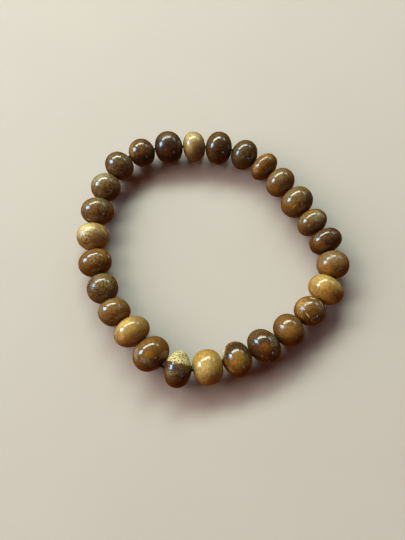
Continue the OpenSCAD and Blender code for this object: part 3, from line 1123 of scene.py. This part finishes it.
# %% Put a mesh into the scene
def add_piece(bm, name, materials, node):
    """Makes a finished mesh a piece that stands for a node and rides on the only body."""
    for face in bm.faces:
        face.smooth = True
    piece = bpy.data.objects.new(name, bpy.data.meshes.new(name))
    bm.to_mesh(piece.data)
    bm.free()
    for material in materials:
        piece.data.materials.append(material)
    scene.collection.objects.link(piece)
    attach(piece, "root")
    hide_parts(node)


# %% Beads
CRUST_TONES = {1: ("sulphur", "straw"), 26: ("cream", "lichen")}
total_faces = 0
for number in NUMBERS:
    form, node = FORMS[number], bead_name(number)
    bead = turned_bead(form, fineness=2 if number in CRUSTS else 1)
    bead.normal_update()
    make_by_hand(bead, form, number, WOODS[number])
    materials = [wood_finish(number)]
    if number in CRUSTS:
        add_crust(bead, form, CRUSTS[number])
        materials.append(crust_finish(number, *CRUST_TONES[number]))
    place = Matrix.Translation(form.middle) @ own_axes(form).to_4x4() @ Matrix.Scale(MM, 4)
    bmesh.ops.transform(bead, matrix=place, verts=bead.verts[:])
    total_faces += len(bead.faces)
    add_piece(bead, f"wood_bead_{number:02d}", materials, node)
print("beads have", total_faces, "faces")

# %% [markdown]
# ## Elastic cord
#
# The cord only shows in the narrow gaps between the beads. A curve with a round bevel would do,
# but a braided sleeve needs to know how far along and round the cord it is. So rings are set
# down along the string, each is bridged to the next, and each vertex notes its place.

# %% Route of the cord
CORD_RADIUS = 0.4
CORD_SIDES = 12
STEPS_PER_SPAN = 4
STRAIGHT_SHARE = 0.82


def cord_route():
    """Points through the holes of all beads, in metres, closed, with rounded bends."""
    ends = []
    for number in NUMBERS:
        form = FORMS[number]
        reach = STRAIGHT_SHARE * form.length_half * MM * form.along
        ends += [(form.middle - reach, form.along), (form.middle + reach, form.along)]
    points = []
    # A Hermite curve leaves each end along its hole, and so bends smoothly in between.
    for (p, way), (q, next_way) in zip(ends, ends[1:] + ends[:1]):
        pull = (q - p).length
        for k in range(STEPS_PER_SPAN):
            t = k / STEPS_PER_SPAN
            start = (1 + 2 * t) * (1 - t) ** 2 * p + t * (1 - t) ** 2 * pull * way
            end = t * t * (3 - 2 * t) * q + t * t * (t - 1) * pull * next_way
            points.append(start + end)
    return points


# %% Bridge the rings of the cord
CORD_LAYER = "on_cord"
route = cord_route()
cord = bmesh.new()
on_cord = cord.verts.layers.float_vector.new(CORD_LAYER)
rings = []
run = 0.0
for here, point in enumerate(route):
    before, after = route[here - 1], route[(here + 1) % len(route)]
    way = (after - before).normalized()
    out = Vector((0, 0, 1)).cross(way).normalized()
    axes = Matrix((out, way.cross(out), way)).transposed()
    place = Matrix.Translation(point) @ axes.to_4x4() @ Matrix.Scale(MM, 4)
    made = bmesh.ops.create_circle(cord, segments=CORD_SIDES, radius=CORD_RADIUS)
    for v in made["verts"]:
        v[on_cord] = Vector((v.co.x / CORD_RADIUS, v.co.y / CORD_RADIUS, run / MM))
    bmesh.ops.transform(cord, matrix=place, verts=made["verts"])
    rings.append({e for v in made["verts"] for e in v.link_edges})
    run += (after - point).length
for ring, following in zip(rings, rings[1:] + rings[:1]):
    bmesh.ops.bridge_loops(cord, edges=list(ring | following))
bmesh.ops.recalc_face_normals(cord, faces=cord.faces[:])
print("cord is", round(run / MM, 1), "mm long")

# %% Cord finish
DARK_RIB, PALE_RIB = (0.02, 0.015, 0.012, 1), (0.06, 0.045, 0.035, 1)
RIBS_ROUND = 4
RIB_GAP = 0.5


def cord_finish():
    """Dark braided sleeve: two sets of fine ribs that cross as they wind round the cord."""
    finish = Finish("braided_elastic")
    x, y, run = finish.parts(finish.noted(CORD_LAYER)["Vector"])
    turns = RIBS_ROUND * finish.sum("ARCTAN2", y, x)
    along = run * (2 * math.pi / RIB_GAP)
    crossing = finish.sum("SINE", turns + along) * finish.sum("SINE", turns - along)
    ribs = finish.between(crossing, -0.6, 0.6)
    shader = finish.shader.inputs
    finish.plug(shader["Base Color"], finish.mix(ribs, DARK_RIB, PALE_RIB))
    finish.plug(shader["Normal"], finish.bump(0.03 * ribs))
    shader["Roughness"].default_value = 0.6
    return finish.material


add_piece(cord, "braided_cord", [cord_finish()], "elastic_cord")
